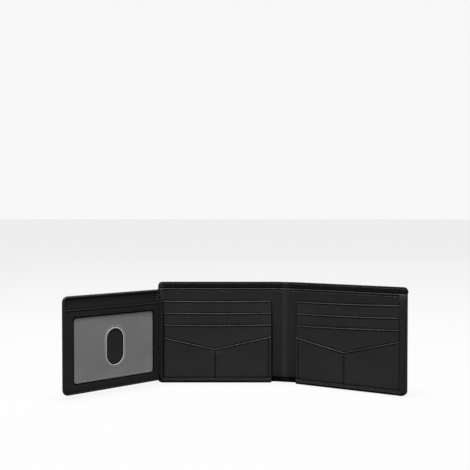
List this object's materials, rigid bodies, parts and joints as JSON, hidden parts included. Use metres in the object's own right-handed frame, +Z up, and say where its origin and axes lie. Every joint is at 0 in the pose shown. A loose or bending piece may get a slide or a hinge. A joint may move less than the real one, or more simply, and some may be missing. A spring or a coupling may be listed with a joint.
{
  "type": "bifold wallet with flip-out window flap",
  "caption": "Slim black leather bifold wallet standing open, with card slots, corner pockets, a note compartment and a flip-out identity window flap.",
  "frame": {"origin": "middle of the footprint, on the surface that the open wallet stands on", "axes": "+X along the left half towards the right half, +Y away from the side that shows the pockets, +Z up"},
  "size_m": [0.2846, 0.0774, 0.09],
  "materials": {
    "black_leather": "smooth semi-matte black leather with a fine grain",
    "lining_cloth": "black woven lining",
    "thread": "black sewing thread",
    "window_film": "hazy translucent window film"
  },
  "bodies": {
    "left_half": {"left_cover": "black_leather", "left_cover_lining": "lining_cloth", "left_top_band": "black_leather", "left_divider": "black_leather", "left_divider_lining": "lining_cloth", "left_card_slot_1": "black_leather", "left_card_slot_lining_1": "lining_cloth", "left_card_slot_2": "black_leather", "left_card_slot_lining_2": "lining_cloth", "left_card_slot_3": "black_leather", "left_card_slot_lining_3": "lining_cloth", "left_corner_pocket": "black_leather", "left_border_stitching": "thread", "left_seam_stitching": "thread", "left_pocket_stitching": "thread", "left_divider_stitching": "thread", "left_cover_stitching": "thread", "flap_hinge_strip": "black_leather", "flap_hinge_stitching": "thread"},
    "spine": {"spine_cover": "black_leather", "spine_lining": "lining_cloth", "spine_top_band": "black_leather", "spine_divider": "black_leather", "spine_divider_lining": "lining_cloth", "spine_divider_stitching": "thread"},
    "right_half": {"right_cover": "black_leather", "right_cover_lining": "lining_cloth", "right_top_band": "black_leather", "right_divider": "black_leather", "right_divider_lining": "lining_cloth", "right_card_slot_1": "black_leather", "right_card_slot_lining_1": "lining_cloth", "right_card_slot_2": "black_leather", "right_card_slot_lining_2": "lining_cloth", "right_card_slot_3": "black_leather", "right_card_slot_lining_3": "lining_cloth", "right_corner_pocket": "black_leather", "right_border_stitching": "thread", "right_seam_stitching": "thread", "right_pocket_stitching": "thread", "right_divider_stitching": "thread", "right_cover_stitching": "thread"},
    "flap": {"flap_back": "black_leather", "flap_inner_face": "black_leather", "flap_window_film": "window_film", "flap_window_frame": "black_leather", "flap_stitching": "thread"}
  },
  "joints": [
    {"name": "left_fold", "type": "hinge", "parent": "left_half", "child": "spine", "pos_m": [0.03481, 0.03611, 0.045], "axis": [0, 0, -1], "range_deg": [-15.7, 74.3]},
    {"name": "right_fold", "type": "hinge", "parent": "spine", "child": "right_half", "pos_m": [0.05088, 0.03159, 0.045], "axis": [0, 0, -1], "range_deg": [-15.7, 74.3]},
    {"name": "flap_fold", "type": "hinge", "parent": "left_half", "child": "flap", "pos_m": [-0.06969, 0.02971, 0.0432], "axis": [0, 0, 1], "range_deg": [-44, 136]}
  ],
  "couplings": [
    {"joint": "right_fold", "follows": "left_fold", "ratio": 1}
  ]
}
